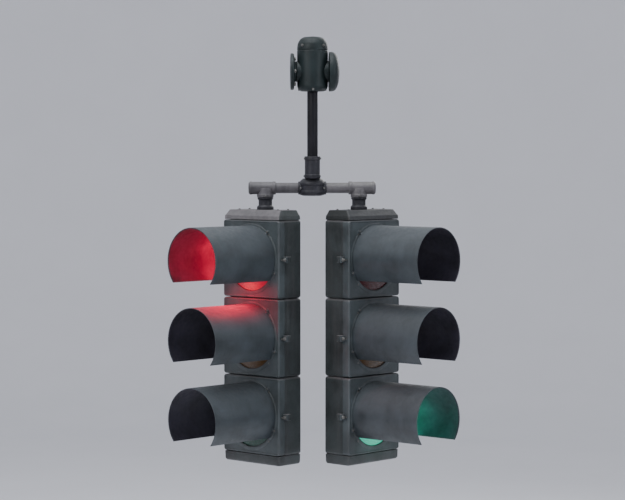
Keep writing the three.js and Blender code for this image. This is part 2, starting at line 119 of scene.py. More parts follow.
PIPE_RADIUS = 24.15
PIPE_BORE = 20.4
AXLE_RADIUS = 25
AXLE_BORE = 19
SOCKET_RADIUS = 24.5
ARM_Z = -529
ARM_REACH = 292
TEE_RADIUS = 30
TEE_LENGTH = 126
HUB_BOTTOM = -565
HUB_RADIUS = 61
ADJUSTER_TOP = -384
ADJUSTER_BOTTOM = -485
ADJUSTER_MIDDLE = (ADJUSTER_TOP + ADJUSTER_BOTTOM) / 2
ADJUSTER_RADIUS = 36
STUB_GAP = 2.5
HANGER_RADIUS = 70
BOSS_REACH = 74

DROP_X = JOINTS["hanger_swing"]["pos_m"][0] / MM
AIM_LEFT = JOINTS["head_left_aim"]["pos_m"]
AIM_RIGHT = JOINTS["head_right_aim"]["pos_m"]
NIPPLE_OFFSET = (AIM_RIGHT[0] - AIM_LEFT[0]) / 2 / MM
HUB_Y = AIM_LEFT[1] / MM
HEAD_CENTRE_Z = AIM_LEFT[2] / MM
HEAD_TOP = HEAD_CENTRE_Z + 1.5 * SECTION_PITCH + CROWN
HEAD_YAW = 45


# ---- Shapes ----


class Shape:
    """Corners and faces of a piece, in millimetres, with a material number for each face."""

    def __init__(self):
        self.points = []
        self.faces = []
        self.marks = []

    def add(self, other, matrix=None):
        base = len(self.points)
        self.points += [matrix @ p if matrix else p.copy() for p in other.points]
        self.faces += [tuple(base + i for i in face) for face in other.faces]
        self.marks += other.marks
        return self

    def face(self, indices, mark=0):
        self.faces.append(tuple(indices))
        self.marks.append(mark)

    def loft(self, rings, closed=False):
        """Joins rings of equal length. An open loft gets a flat face on each end."""
        base = len(self.points)
        size = len(rings[0])
        for ring in rings:
            self.points += [Vector(p) for p in ring]
        last = len(rings) if closed else len(rings) - 1
        for r in range(last):
            here = base + r * size
            there = base + ((r + 1) % len(rings)) * size
            for i in range(size):
                j = (i + 1) % size
                self.face((here + i, here + j, there + j, there + i))
        if not closed:
            for start in (base, base + last * size):
                self.face(range(start, start + size))
        return self

    def moved(self, matrix):
        return Shape().add(self, matrix)


def copies(piece, places):
    """One shape that holds a piece at each of several places."""
    shape = Shape()
    for place in places:
        shape.add(piece, place)
    return shape


def at(x=0.0, y=0.0, z=0.0):
    return Matrix.Translation((x, y, z))


def turn(angle, axis):
    return Matrix.Rotation(math.radians(angle), 4, axis)


ALONG_X = turn(90, "Y")
FORWARD = turn(90, "X")


def fillet(points, radius, steps=4, closed=False):
    """Rounds the inside corners of a line of 2-D points."""
    count = len(points)
    result = []
    for i, point in enumerate(points):
        if not closed and i in (0, count - 1):
            result.append(point)
            continue
        here = Vector(point)
        before = Vector(points[i - 1]) - here
        after = Vector(points[(i + 1) % count]) - here
        reach = min(radius, 0.45 * before.length, 0.45 * after.length)
        start = here + before.normalized() * reach
        end = here + after.normalized() * reach
        for step in range(steps + 1):
            t = step / steps
            curve = start * (1 - t) ** 2 + here * 2 * t * (1 - t) + end * t**2
            result.append(tuple(curve))
    return result


def circle(radius, z, steps):
    angles = [2 * math.pi * i / steps for i in range(steps)]
    return [(radius * math.cos(a), radius * math.sin(a), z) for a in angles]


def lathe(profile, sides, closed=False):
    """Turns (radius, height) points about Z. A point on the axis closes that end."""
    return Shape().loft([circle(max(radius, 0.01), height, sides) for radius, height in profile], closed)


def turned(profile, rounding, steps, sides, closed=False):
    """A lathed piece whose profile has round corners."""
    return lathe(fillet(profile, rounding, steps, closed), sides, closed)


def stud(radius, height):
    """A plain round screw end on Z, chamfered at its top."""
    profile = [(0, 0), (radius, 0), (radius, height - 1), (radius - 1, height), (0, height)]
    return turned(profile, 0.6, 2, 20)


def mirrored(side):
    return Matrix.Diagonal((side, 1, 1, 1))


def slab(outline, z0, z1, bevel):
    """A flat plate with softened edges, from an outline that runs anticlockwise."""
    count = len(outline)
    inner = []
    for i in range(count):
        here = Vector(outline[i])
        along = (Vector(outline[(i + 1) % count]) - Vector(outline[i - 1])).normalized()
        inner.append(here + Vector((-along.y, along.x)) * bevel)
    rings = []
    for points, z in ((inner, z0), (outline, z0 + bevel), (outline, z1 - bevel), (inner, z1)):
        rings.append([(p[0], p[1], z) for p in points])
    return Shape().loft(rings)


def brick(x0, x1, y0, y1, z0, z1, radius=1.5, bevel=0.8):
    """A block with round upright edges and softened ends."""
    corners = [(x0, y0), (x1, y0), (x1, y1), (x0, y1)]
    return slab(fillet(corners, radius, 3, closed=True), z0, z1, bevel)


def box_ring(width, height, radius, y):
    """A rectangle with round corners, across Y: 5 points round each corner and 15 along each side."""
    ring = []
    signs = ((1, 1), (-1, 1), (-1, -1), (1, -1))

    def corner_point(corner, share):
        sx, sz = signs[corner % 4]
        angle = (corner + share) * math.pi / 2
        x = sx * (width / 2 - radius) + radius * math.cos(angle)
        z = sz * (height / 2 - radius) + radius * math.sin(angle)
        return Vector((x, y, z))

    for corner in range(4):
        ring += [corner_point(corner, step / 5) for step in range(5)]
        start, end = corner_point(corner, 1), corner_point(corner + 1, 0)
        ring += [start.lerp(end, step / 15) for step in range(15)]
    return ring


def drawn_in(width, height, inset, y):
    """A section's outline drawn in on every side, so that its corners get tighter."""
    return box_ring(width - 2 * inset, height - 2 * inset, max(CORNER - 0.8 * inset, 2.5), y)


GUIDE = box_ring(HEAD_WIDTH, HEAD_WIDTH, CORNER, 0)


def round_ring(radius, y):
    """A circle across Y whose points line up with those of a box ring."""
    return [Vector((p.x, 0, p.z)).normalized() * radius + Vector((0, y, 0)) for p in GUIDE]


def plan_ring(x, front, back, radius, z):
    """A rectangle with round corners, across Z."""
    ring = box_ring(2 * x, back - front, radius, 0)
    return [Vector((p.x, (front + back) / 2 + p.z, z)) for p in ring]


def plan_circle(radius, z):
    return [Vector((p.x, p.z, 0)).normalized() * radius + Vector((0, 0, z)) for p in GUIDE]


def screw_head(radius, height):
    """A pan head with a cross cut into it, on Z."""
    dome = [(0, 0), (radius, 0), (radius, 0.35 * height), (0.75 * radius, 0.85 * height), (0, height)]
    shape = turned(dome, 0.5, 2, 20)
    for angle in (0, 90):
        bar = brick(-0.55 * radius, 0.55 * radius, -0.3, 0.3, 0.8 * height, height + 0.15, 0.2, 0.1)
        shape.add(bar, turn(angle, "Z"))
    return shape


def hex_nut(across, thickness):
    """A hexagon with rounded corners on Z, with a washer under it."""
    radius = across / math.sqrt(3)
    corners = [(radius * math.cos(a * math.pi / 3), radius * math.sin(a * math.pi / 3)) for a in range(6)]
    shape = slab(fillet(corners, 1.2, 2, closed=True), 1.6, thickness, 0.8)
    return shape.add(turned([(0, 0), (radius * 1.15, 0), (radius * 1.15, 1.6), (0, 1.6)], 0.4, 2, 28))


# ---- Pieces ----


def build(name, shape, materials, body, slot, matrix=None, replaces=(), sharp=32, own_axes=False):
    """Makes a mesh object from a shape and rides it on a CAD body.

    The place is put into the mesh, as in the CAD nodes, unless a material needs the piece's own axes.
    """
    mesh = bpy.data.meshes.new(name)
    mesh.from_pydata([p * MM for p in shape.points], [], shape.faces)
    if matrix and not own_axes:
        mesh.transform(matrix)
    for i, mark in enumerate(shape.marks):
        mesh.polygons[i].material_index = mark
    work = bmesh.new()
    work.from_mesh(mesh)
    bmesh.ops.remove_doubles(work, verts=work.verts, dist=1e-6)
    bmesh.ops.dissolve_degenerate(work, edges=work.edges, dist=1e-7)
    bmesh.ops.recalc_face_normals(work, faces=work.faces)
    work.to_mesh(mesh)
    work.free()
    mesh.shade_smooth()
    mesh.set_sharp_from_angle(angle=math.radians(sharp))
    for material in materials if isinstance(materials, (list, tuple)) else [materials]:
        mesh.materials.append(material)
    piece = bpy.data.objects.new(name, mesh)
    bpy.context.scene.collection.objects.link(piece)
    if own_axes:
        piece.matrix_world = matrix
    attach(piece, body)
    if replaces:
        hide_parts(*replaces)
    return piece


# ---- Materials ----


class Nodes:
    """Short calls for building one material's node tree."""

    def __init__(self, name):
        self.material = bpy.data.materials.new(name)
        self.material.use_nodes = True
        self.tree = self.material.node_tree
        self.shader = self.tree.nodes["Principled BSDF"]

    def new(self, kind, **settings):
        node = self.tree.nodes.new(kind)
        for key, value in settings.items():
            setattr(node, key, value)
        return node

    def link(self, source, target):
        self.tree.links.new(source, target)

    def coordinates(self, stretch=(1, 1, 1)):
        mapping = self.new("ShaderNodeMapping")
        mapping.inputs["Scale"].default_value = stretch
        self.link(self.new("ShaderNodeTexCoord").outputs["Object"], mapping.inputs["Vector"])
        return mapping.outputs["Vector"]

    def noise(self, scale, detail=4.0, stretch=(1, 1, 1), rough=0.55):
        node = self.new("ShaderNodeTexNoise")
        node.inputs["Scale"].default_value = scale
        node.inputs["Detail"].default_value = detail
        node.inputs["Roughness"].default_value = rough
        self.link(self.coordinates(stretch), node.inputs["Vector"])
        return node.outputs["Fac"]

    def remap(self, value, low, high, to_low=0.0, to_high=1.0):
        node = self.new("ShaderNodeMapRange")
        sockets = ("From Min", "From Max", "To Min", "To Max")
        for socket, number in zip(sockets, (low, high, to_low, to_high)):
            node.inputs[socket].default_value = number
        self.link(value, node.inputs["Value"])
        return node.outputs["Result"]

    def math(self, operation, a, b):
        node = self.new("ShaderNodeMath", operation=operation)
        for socket, value in zip(node.inputs, (a, b)):
            if isinstance(value, (int, float)):
                socket.default_value = value
            else:
                self.link(value, socket)
        return node.outputs[0]

    def mix(self, factor, a, b):
        node = self.new("ShaderNodeMix", data_type="RGBA")
        self.link(factor, node.inputs["Factor"])
        for socket, value in zip((node.inputs[6], node.inputs[7]), (a, b)):
            if isinstance(value, tuple):
                socket.default_value = (*value, 1)
            else:
                self.link(value, socket)
        return node.outputs[2]

    def bump(self, height, strength, distance, below=None):
        node = self.new("ShaderNodeBump")
        node.inputs["Strength"].default_value = strength
        node.inputs["Distance"].default_value = distance
        self.link(height, node.inputs["Height"])
        if below is not None:
            self.link(below, node.inputs["Normal"])
        return node.outputs["Normal"]

    def facing(self, direction, start, full):
        """0 to 1 as the surface turns towards a direction, given in the piece's own axes."""
        dot = self.new("ShaderNodeVectorMath", operation="DOT_PRODUCT")
        self.link(self.new("ShaderNodeTexCoord").outputs["Normal"], dot.inputs[0])
        dot.inputs[1].default_value = direction
        return self.remap(dot.outputs["Value"], start, full)

    def upward(self):
        return self.facing((0, 0, 1), 0.1, 0.95)

    def set(self, **values):
        for socket, value in values.items():
            target = self.shader.inputs[socket.replace("_", " ")]
            if hasattr(value, "is_linked"):
                self.link(value, target)
            elif isinstance(value, tuple):
                target.default_value = (*value, 1) if len(value) == 3 else value
            else:
                target.default_value = value
        return self.material


def weathered(name, paint, dust, roughness, grain=900, dust_amount=0.85, lit_towards=None, gloss=0.5):
    """Paint or plastic outdoors: pale dust on what faces up, rain streaks, chalky patches and fine grain.

    A direction may be given. The faces towards it, and those that face straight up, are then painted as pale
    as the dust: painted light where the light falls on them.
    """
    n = Nodes(name)
    patches = n.remap(n.noise(9, 5), 0.35, 0.7)
    lighter = tuple(min(1, c * 1.55 + 0.004) for c in paint)
    darker = tuple(c * 0.72 for c in paint)
    base = n.mix(patches, darker, lighter)
    streaks = n.remap(n.noise(26, 6, (1, 1, 0.06), 0.7), 0.5, 0.78, 0, 0.45)
    base = n.mix(streaks, base, tuple(c * 0.5 + d * 0.5 for c, d in zip(paint, dust)))
    blotch = n.remap(n.noise(38, 6, rough=0.65), 0.3, 0.72, 0.45, 1)
    dust_and_light_mask = n.upward()
    # Painted light: with a direction given, the faces towards it and the tops are made pale as if lit.
    if lit_towards:
        dust_and_light_mask = n.math("MAXIMUM", n.facing((0, 0, 1), 0.85, 1), n.facing(lit_towards, 0.62, 0.9))
    # The dust mask; on the caps it carries the painted light as well.
    settled = n.math("MULTIPLY", n.math("MULTIPLY", dust_and_light_mask, blotch), dust_amount)
    base = n.mix(settled, base, dust)
    specks = n.remap(n.noise(420, 2), 0.66, 0.74, 0, 0.35)
    base = n.mix(specks, base, tuple(c * 0.6 for c in dust))
    rough = n.remap(n.noise(55, 4), 0.3, 0.75, roughness - 0.1, roughness + 0.16)
    rough = n.math("ADD", rough, n.math("MULTIPLY", settled, 0.25))
    waves = n.bump(n.noise(16, 3), 0.12, 0.0008)
    fine = n.bump(n.noise(grain, 3), 0.35, 0.00012, waves)
    return n.set(Base_Color=base, Roughness=rough, Normal=fine, Specular_IOR_Level=gloss)


def cast_metal(name, paint, dust, roughness=0.5, gloss=0.5):
    """Painted sand casting: pitted skin, a little metal showing through worn spots."""
    n = Nodes(name)
    patches = n.remap(n.noise(14, 6), 0.35, 0.68)
    base = n.mix(patches, tuple(c * 0.75 for c in paint), tuple(c * 1.5 for c in paint))
    streaks = n.remap(n.noise(40, 6, (1, 1, 0.07), 0.7), 0.52, 0.75, 0, 0.5)
    base = n.mix(streaks, base, tuple(c * 0.55 + d * 0.45 for c, d in zip(paint, dust)))
    settled = n.math("MULTIPLY", n.upward(), n.remap(n.noise(50, 5), 0.3, 0.7, 0.4, 0.85))
    base = n.mix(settled, base, dust)
    worn = n.remap(n.noise(150, 5, rough=0.7), 0.68, 0.74)
    base = n.mix(worn, base, (0.3, 0.3, 0.29))
    pits = n.bump(n.noise(320, 5, rough=0.7), 0.45, 0.0005)
    skin = n.bump(n.noise(1400, 2), 0.3, 0.0001, pits)
    rough = n.remap(n.noise(90, 4), 0.3, 0.75, roughness - 0.12, roughness + 0.15)
    metallic = n.math("MULTIPLY", worn, 0.8)
    return n.set(Base_Color=base, Roughness=rough, Normal=skin, Metallic=metallic, Specular_IOR_Level=gloss)


def bare_metal(name, colour, roughness, brushed=(1, 1, 1), tarnish=0.35):
    n = Nodes(name)
    stain = n.remap(n.noise(70, 6, rough=0.65), 0.42, 0.72, 0, tarnish)
    base = n.mix(stain, colour, tuple(c * f for c, f in zip(colour, (0.5, 0.42, 0.34))))
    scratch = n.noise(600, 4, brushed)
    rough = n.math("ADD", n.remap(scratch, 0.3, 0.7, roughness - 0.07, roughness + 0.1), stain)
    normal = n.bump(scratch, 0.18, 0.00006)
    return n.set(Base_Color=base, Roughness=rough, Normal=normal, Metallic=1.0)


def signal_lens(name, colour, glow=None, strength=0.0):
    """Coloured moulded lens: a grid of small prisms behind a smooth dome."""
    n = Nodes(name)
    grid = None
    for direction in ("X", "Z"):
        wave = n.new("ShaderNodeTexWave", bands_direction=direction)
        wave.inputs["Scale"].default_value = 38
        n.link(n.coordinates(), wave.inputs["Vector"])
        grid = wave.outputs["Fac"] if grid is None else n.math("MULTIPLY", grid, wave.outputs["Fac"])
    dirt = n.remap(n.noise(24, 6, (1, 1, 0.4)), 0.42, 0.75, 0, 0.35)
    tone = n.mix(n.remap(grid, 0.0, 1.0), tuple(c * 0.62 for c in colour), colour)
    base = n.mix(dirt, tone, tuple(c * 0.3 + 0.016 for c in colour))
    normal = n.bump(grid, 0.55, 0.0012)
    rough = n.remap(dirt, 0, 0.35, 0.12, 0.4)
    n.set(Base_Color=base, Roughness=rough, Normal=normal)
    n.set(Specular_IOR_Level=0.3, Coat_Weight=0.2, Coat_Roughness=0.12)
    if glow is not None:
        ball = n.new("ShaderNodeTexGradient", gradient_type="SPHERICAL")
        n.link(n.coordinates((4.6, 4.6, 4.6)), ball.inputs["Vector"])
        falloff = n.remap(ball.outputs["Fac"], 0, 0.55, 0.35, 1)
        prisms = n.remap(grid, 0, 1, 0.72, 1)
        shine = n.math("MULTIPLY", n.math("MULTIPLY", falloff, prisms), strength)
        n.set(Emission_Color=glow, Emission_Strength=shine)
    return n.material


def rubber(name):
    n = Nodes(name)
    base = n.mix(n.noise(60, 4), (0.012, 0.012, 0.013), (0.0288, 0.0288, 0.0312))
    rough, normal = n.remap(n.noise(120), 0.3, 0.7, 0.65, 0.9), n.bump(n.noise(900), 0.3, 0.0001)
    return n.set(Base_Color=base, Roughness=rough, Normal=normal)


def glass(name):
    n = Nodes(name)
    haze = n.remap(n.noise(45, 4), 0.4, 0.8, 0.02, 0.18)
    base = n.mix(n.noise(30), (0.96, 0.96, 0.94), (0.88, 0.88, 0.85))
    return n.set(Base_Color=base, Roughness=haze, Transmission_Weight=0.85, IOR=1.5)


def ceramic(name):
    n = Nodes(name)
    base = n.mix(n.noise(80, 5), (0.78, 0.75, 0.68), (0.62, 0.58, 0.5))
    rough, normal = n.remap(n.noise(150), 0.3, 0.7, 0.3, 0.5), n.bump(n.noise(500), 0.15, 0.0001)
    return n.set(Base_Color=base, Roughness=rough, Normal=normal)


DUST = (0.12, 0.112, 0.116)
# Painted shade: the housing gets a darker copy of the door's paint, so the heads' sides read as shaded
# beside their lit fronts.
SHADED_BODY_PAINT = weathered("signal_body", (0.021, 0.026, 0.027), DUST, 0.46)
DOOR_PAINT = weathered("signal_door", (0.036, 0.046, 0.050), DUST, 0.44)
VISOR_DUST = (0.068, 0.078, 0.087)
VISOR_OUT = weathered("visor_outside", (0.029, 0.037, 0.043), VISOR_DUST, 0.42, dust_amount=0.95)
VISOR_IN = weathered("visor_inside", (0.024, 0.022, 0.034), (0.04, 0.038, 0.05), 0.62, dust_amount=0.1)
# Painted light and shade: the left cap's paint and dust are a pale, lit copy and the right cap's a dark,
# shaded copy of one paint; each cap's front is painted pale as well.
CAP_LIT_AND_SHADED_TONES = {
    "left": ((0.030, 0.036, 0.036), (0.17, 0.155, 0.165)),
    "right": ((0.006, 0.008, 0.008), (0.058, 0.059, 0.063)),
}
CAP_LIT_AND_SHADED_PAINTS = {
    name: weathered(f"signal_cap_{name}", *CAP_LIT_AND_SHADED_TONES[name], 0.5, lit_towards=(side, -1, 0.5))
    for name, side in HEADS
}
CASTING = cast_metal("hanger_casting", (0.008, 0.014, 0.015), (0.04, 0.047, 0.047), gloss=0.28)
COUPLING = cast_metal("coupling_casting", (0.016, 0.016, 0.021), (0.05, 0.05, 0.056), gloss=0.3)
# Painted light and shade: the two arms are one casting, with a lighter copy of its paint for the right arm
# and a darker one for the left.
ARM_LIT_AND_SHADED_CASTINGS = {
    "left": cast_metal("arm_casting_left", (0.055, 0.052, 0.058), (0.16, 0.155, 0.16)),
    "right": cast_metal("arm_casting_right", (0.072, 0.068, 0.074), (0.21, 0.205, 0.2)),
}
PIPE_DUST = (0.025, 0.024, 0.028)
PIPE_PAINT = weathered("pipe_paint", (0.005, 0.005, 0.008), PIPE_DUST, 0.5, grain=1500, gloss=0.2)
STEEL = bare_metal("zinc_steel", (0.16, 0.16, 0.155), 0.42)
SHAFT_STEEL = bare_metal("shaft_steel", (0.5, 0.5, 0.49), 0.3, (0.05, 1, 1))
MIRROR = bare_metal("reflector_aluminium", (0.9, 0.9, 0.9), 0.14, tarnish=0.08)
BRASS = bare_metal("lamp_brass", (0.72, 0.5, 0.2), 0.3)
GASKET = rubber("gasket_rubber")
GLASS = glass("lamp_glass")
CERAMIC = ceramic("socket_ceramic")
RED = signal_lens("lens_red", (0.065, 0.004, 0.007))
YELLOW = signal_lens("lens_yellow", (0.08, 0.036, 0.005))
GREEN = signal_lens("lens_green", (0.005, 0.045, 0.03))
RED_LIT = signal_lens("lens_red_lit", (0.17, 0.003, 0.02), (1.0, 0.006, 0.06, 1), 0.7)
GREEN_LIT = signal_lens("lens_green_lit", (0.02, 0.30, 0.21), (0.08, 1.0, 0.66, 1), 0.7)
# Each lit lens: the colour of its light, the power ahead of it and the power that falls below its visor.
BEAMS = {"top": ((1.0, 0.002, 0.045), 11.0, 4.0), "bottom": ((0.02, 1.0, 0.5), 2.5, 0.2)}
LENS_LOOKS = {"top": RED, "middle": YELLOW, "bottom": GREEN}


# ---- One signal section ----


def housing_shape(side, step):
    """The box behind a door: rounded back with a sunk panel and ribs, hinge lugs, latch lug and posts."""
    w, h, wall = HEAD_WIDTH, HOUSING_HEIGHT, HOUSING_WALL
    front, back, groove = HOUSING_FRONT, HOUSING_BACK, HOUSING_FRONT + 9
    levels = [(wall + 12, back - wall), (wall + 4, back - 9), (wall, back - 18)]
    levels += [(wall, front + 0.6), (wall - 0.6, front), (0.6, front), (0, front + 0.6)]
    levels += [(0, groove - 1.1), (1, groove - 0.5), (1, groove + 0.5), (0, groove + 1.1)]
    for degrees in range(0, 91, 18):
        angle = math.radians(degrees)
        levels.append((15 * (1 - math.cos(angle)), back - 16 + 16 * math.sin(angle)))
    levels += [(28, back), (30, back - 1), (32, back - 3), (46, back - 3)]
    shape = Shape().loft([drawn_in(w, h, inset, y) for inset, y in levels])
    for x in (-84, -28, 28, 84):
        shape.add(brick(x - 3, x + 3, back - 5, back - 0.4, -h / 2 + 34, h / 2 - 34, 1.2, 2))
    for z in (-70, 70):
        shape.add(brick(-w / 2 + 34, w / 2 - 34, back - 5, back - 1.2, z - 3, z + 3, 1.2, 1.2))
    shape.add(hinge_lugs(side))
    shape.add(latch_lug(side, front, front + 17))
    post = turned([(0, 0), (7, 0), (5, 12), (4.4, 104), (0, 104)], 2, 3, 20)
    for x, z in four_posts():
        shape.add(post, at(x, back - 4, z) @ FORWARD)
    if step < 1:
        shape.add(stack_ring())
    return shape


def four_posts():
    """The places of the reflector's posts."""
    return [(x, z) for x in (-POST_PLACE, POST_PLACE) for z in (-POST_PLACE, POST_PLACE)]


def latch_lug(side, y0, y1):
    """A lug beside the latch screw, on a housing or a door."""
    x0, x1 = sorted((-side * LATCH_LUG_ROOT, -side * LATCH_LUG_EDGE))
    return brick(x0, x1, y0, y1, -LATCH_LUG_RISE, LATCH_LUG_RISE, 4, 1.5)


def hinge_tip(first, last):
    """The round end of a hinge plate, between two angles in degrees."""
    angles = [math.radians(degrees) for degrees in range(first, last, 15)]
    return [(HINGE_RADIUS * math.cos(a), HINGE_RADIUS * math.sin(a)) for a in angles]


def at_hinges(side, plate):
    """A hinge plate at both of a section's hinges."""
    return copies(plate, [at(side * HINGE_X, HINGE_Y, z) @ mirrored(side) for z in (-HINGE_Z, HINGE_Z)])


def hinge_lugs(side):
    outline = [*hinge_tip(-180, 1), (HINGE_RADIUS, 24), (-11, 24), (-11, 6), (-HINGE_RADIUS, 6)]
    plate = slab(outline, LUG_START, LUG_START + LUG_THICKNESS, 0.7)
    return at_hinges(side, copies(plate, [at(0, 0, -2 * LUG_START - LUG_THICKNESS), at()]))


def cap_shape(up):
    """The cap on a head's end: a roof that overhangs the door, and a skirt down into the end section."""
    eave, rim = SECTION_PITCH / 2 + GAP, SECTION_PITCH / 2 + CROWN
    shoulder = SECTION_PITCH / 2 + 18 if up > 0 else rim - 9
    lean = 22 if up > 0 else 8
    inset, front = 4 + lean / 2, 3 + lean

    def level(side_inset, front_inset, z, radius=9.0):
        edge = HEAD_WIDTH / 2 - side_inset
        return plan_ring(edge, DOOR_FRONT + front_inset, HOUSING_BACK - side_inset, radius, z)

    rings = [level(14, 13, eave + 5, 4), level(14, 13, eave, 4), level(4, 3, eave), level(3, 2, eave + 1)]
    rings += [level(3.8, 2.8, shoulder - 1.6), level(4.3, 3.6, shoulder + 0.6)]
    rings += [
        level(4 + 0.08 * lean, 3 + 0.16 * lean, shoulder + 2.4),
        level(inset - 1.6, front - 3.2, rim - 2.6),
        level(inset - 0.4, front - 0.8, rim - 0.7),
        level(inset + 1.8, front + 1.8, rim),
    ]
    if up > 0:
        seat = ((48, rim), (46.5, rim - 1.2), (43, rim - 1.2), (41.5, rim), (10, rim))
    else:
        seat = ((33, rim), (32, rim - 1), (32, rim - 6), (10, rim - 6))
    rings += [plan_circle(radius, z) for radius, z in seat]
    shape = Shape().loft(rings)
    skirt = (SECTION_PITCH / 2 - 12, SECTION_PITCH / 2 + 2)
    shape.loft([plan_ring(HEAD_WIDTH / 2 - 8, HOUSING_FRONT + 2, HOUSING_BACK - 8, 8, z) for z in skirt])
    return shape.moved(Matrix.Diagonal((1, 1, up, 1)))


def cap_screws():
    """The four screws that hold a head's top cap to its section."""
    rim = SECTION_PITCH / 2 + CROWN
    return copies(hex_nut(9, 5), [at(x, y, rim - 0.4) for x in (-122, 122) for y in (-44, 22)])


def stack_ring():
    """The ring that locks a section to the one above it."""
    z = HOUSING_HEIGHT / 2
    section = [(38, z - 9), (50, z - 9), (50, z - 4.5), (38, z - 4.5)]
    return turned(section, 1, 2, 48, closed=True)


def door_shape(side):
    """The frame that holds the lens: a pan with a round opening, knuckles and a latch lug."""
    w, h, front, wall = DOOR_WIDTH, DOOR_HEIGHT, DOOR_FRONT, DOOR_WALL
    inside = [(wall, front + wall + 3), (wall, DOOR_BACK - 0.6), (wall - 0.6, DOOR_BACK)]
    outside = [
        (0.6, DOOR_BACK), (0, DOOR_BACK - 0.6), (0, front + 9), (0.4, front + 5), (1.7, front + 2.2),
        (3.5, front + 0.6), (6, front), (7.5, front), (8.5, front + 0.5), (9.3, front + 1.6),
    ]
    rings = [drawn_in(w, h, inset, y) for inset, y in inside + outside]
    mouth = ((161.6, 1.6), (160.6, 0.5), (159, 0), (OPENING + 1.5, 0), (OPENING, 1.2), (OPENING, wall))
    rings += [round_ring(radius, front + depth) for radius, depth in mouth]
    rings.append(drawn_in(w, h, wall + 3, front + wall))
    shape = Shape().loft(rings, closed=True)
    outline = [*hinge_tip(-90, 121), (-11, 2.5), (-11, -HINGE_RADIUS)]
    shape.add(at_hinges(side, slab(outline, -KNUCKLE_REACH, KNUCKLE_REACH, 0.7)))
    shape.add(latch_lug(side, DOOR_BACK - LATCH_LUG_DEPTH, DOOR_BACK))
    pad = turned([(0, 0), (9, 0), (8.4, 1.6), (0, 1.6)], 0.4, 2, 24)
    seat = at(0, front + 1.6, EAR_SCREW_RADIUS) @ FORWARD
    return shape.add(copies(pad, [turn(angle, "Y") @ seat for angle in EAR_ANGLES]))


def visor_shape():
    """A tunnel hood with a hemmed edge. Its outside is material 0 and its inside is material 1."""
    steps = 84
    span = math.radians(360 - 2 * VISOR_HALF_GAP)
    start = -math.pi / 2 + math.radians(VISOR_HALF_GAP)
    hem = 5
    stations = [(VISOR_BACK - distance, 0) for distance in (0, 1, 30, 120, 240)]
    rolled_edge = ((9, 0), (7.5, 0.9), (5, 1.6), (2, 1.6), (0.6, 1.0), (0, 0.2))
    stations += [(VISOR_FRONT + distance, bead) for distance, bead in rolled_edge]
    shape = Shape()
    rows = []
    for y, bead in stations:
        outer_radius = VISOR_RADIUS - (0.6 if y <= VISOR_FRONT + 0.1 else 0)
        inner_radius = VISOR_RADIUS - VISOR_WALL - bead
        outer, inner = [], []
        for i in range(steps + 1):
            angle = start + span * i / steps
            edge = min(i, steps - i) * span / steps * VISOR_RADIUS
            fold = 1.4 * max(0, 1 - abs(edge - hem / 2) / (hem / 2))
            for row, radius in ((outer, outer_radius), (inner, inner_radius - fold)):
                row.append(Vector((radius * math.cos(angle), y, radius * math.sin(angle))))
        rows.append(outer + inner[::-1])
    size = len(rows[0])
    for row in rows:
        shape.points += row
    for r in range(0, (len(rows) - 1) * size, size):
        for i in range(size):
            j = (i + 1) % size
            shape.face((r + i, r + j, r + size + j, r + size + i), 1 if steps < i < size - 1 else 0)
    for start_of_row in (0, (len(rows) - 1) * size):
        for i in range(steps):
            a, b = start_of_row + i, start_of_row + size - 1 - i
            shape.face((a, a + 1, b - 1, b))
    ear = fillet([(-8, -2), (8, -2), (8, 16.5), (-8, 16.5)], 5, 4, closed=True)
    ear = slab(ear, 0, VISOR_WALL, 0.4).moved(at(0, VISOR_BACK, VISOR_RADIUS) @ FORWARD)
    web_ends = (
        (VISOR_BACK - VISOR_WALL + 0.2, ((-6, -1), (6, -1), (6, 4), (-6, 4))),
        (VISOR_BACK - 7, ((-5, -1.4), (5, -1.4), (5, -0.4), (-5, -0.4))),
    )
    web = Shape().loft([[(x, y, VISOR_RADIUS + z) for x, z in corners] for y, corners in web_ends])
    return shape.add(copies(ear.add(web), [turn(angle, "Y") for angle in EAR_ANGLES]))


def visor_screws():
    seat = at(0, VISOR_BACK - VISOR_WALL - 0.1, EAR_SCREW_RADIUS) @ FORWARD
    return copies(screw_head(5, 3), [turn(angle, "Y") @ seat for angle in EAR_ANGLES])


def lens_shape():
    def bulge(radius, thickness=0.0):
        return -LENS_SEAT + LENS_RISE * (1 - (radius / LENS_DOME) ** 2) - thickness

    radii = [LENS_DOME * i / 22 for i in range(23)]
    outer = [(r, bulge(r)) for r in radii]
    rim = fillet([(LENS_DOME, -LENS_SEAT), (LENS_RADIUS, -LENS_SEAT), (LENS_RADIUS, -LENS_SEAT - 4),
                  (138, -LENS_SEAT - 4)], 0.8, 2)
    inner = [(r, bulge(r, 5)) for r in radii[::-1] if r < 136]
    return lathe([*outer, *rim[1:], *inner], 96).moved(FORWARD)


def ring_seal(outer, inner, y0, y1):
    """A soft ring round the lens, across Y."""
    section = [(inner, -y0), (outer, -y0), (outer, -y1), (inner, -y1)]
    return turned(section, 1.2, 3, 96, closed=True).moved(FORWARD)


def door_seal():
    """The door's edge gasket, seated in its rim against the housing."""
    w, h = DOOR_WIDTH - 2 * DOOR_WALL - 0.6, DOOR_HEIGHT - 2 * DOOR_WALL - 0.6
    rings = []
    for inset, depth in ((0, 9), (1.4, 9.8), (6, 9.8), (7, 9), (7, 2.4), (6, 1), (1.4, 1), (0, 2.4)):
        rings.append(drawn_in(w, h, inset, DOOR_BACK - depth))
    return Shape().loft(rings, closed=True)


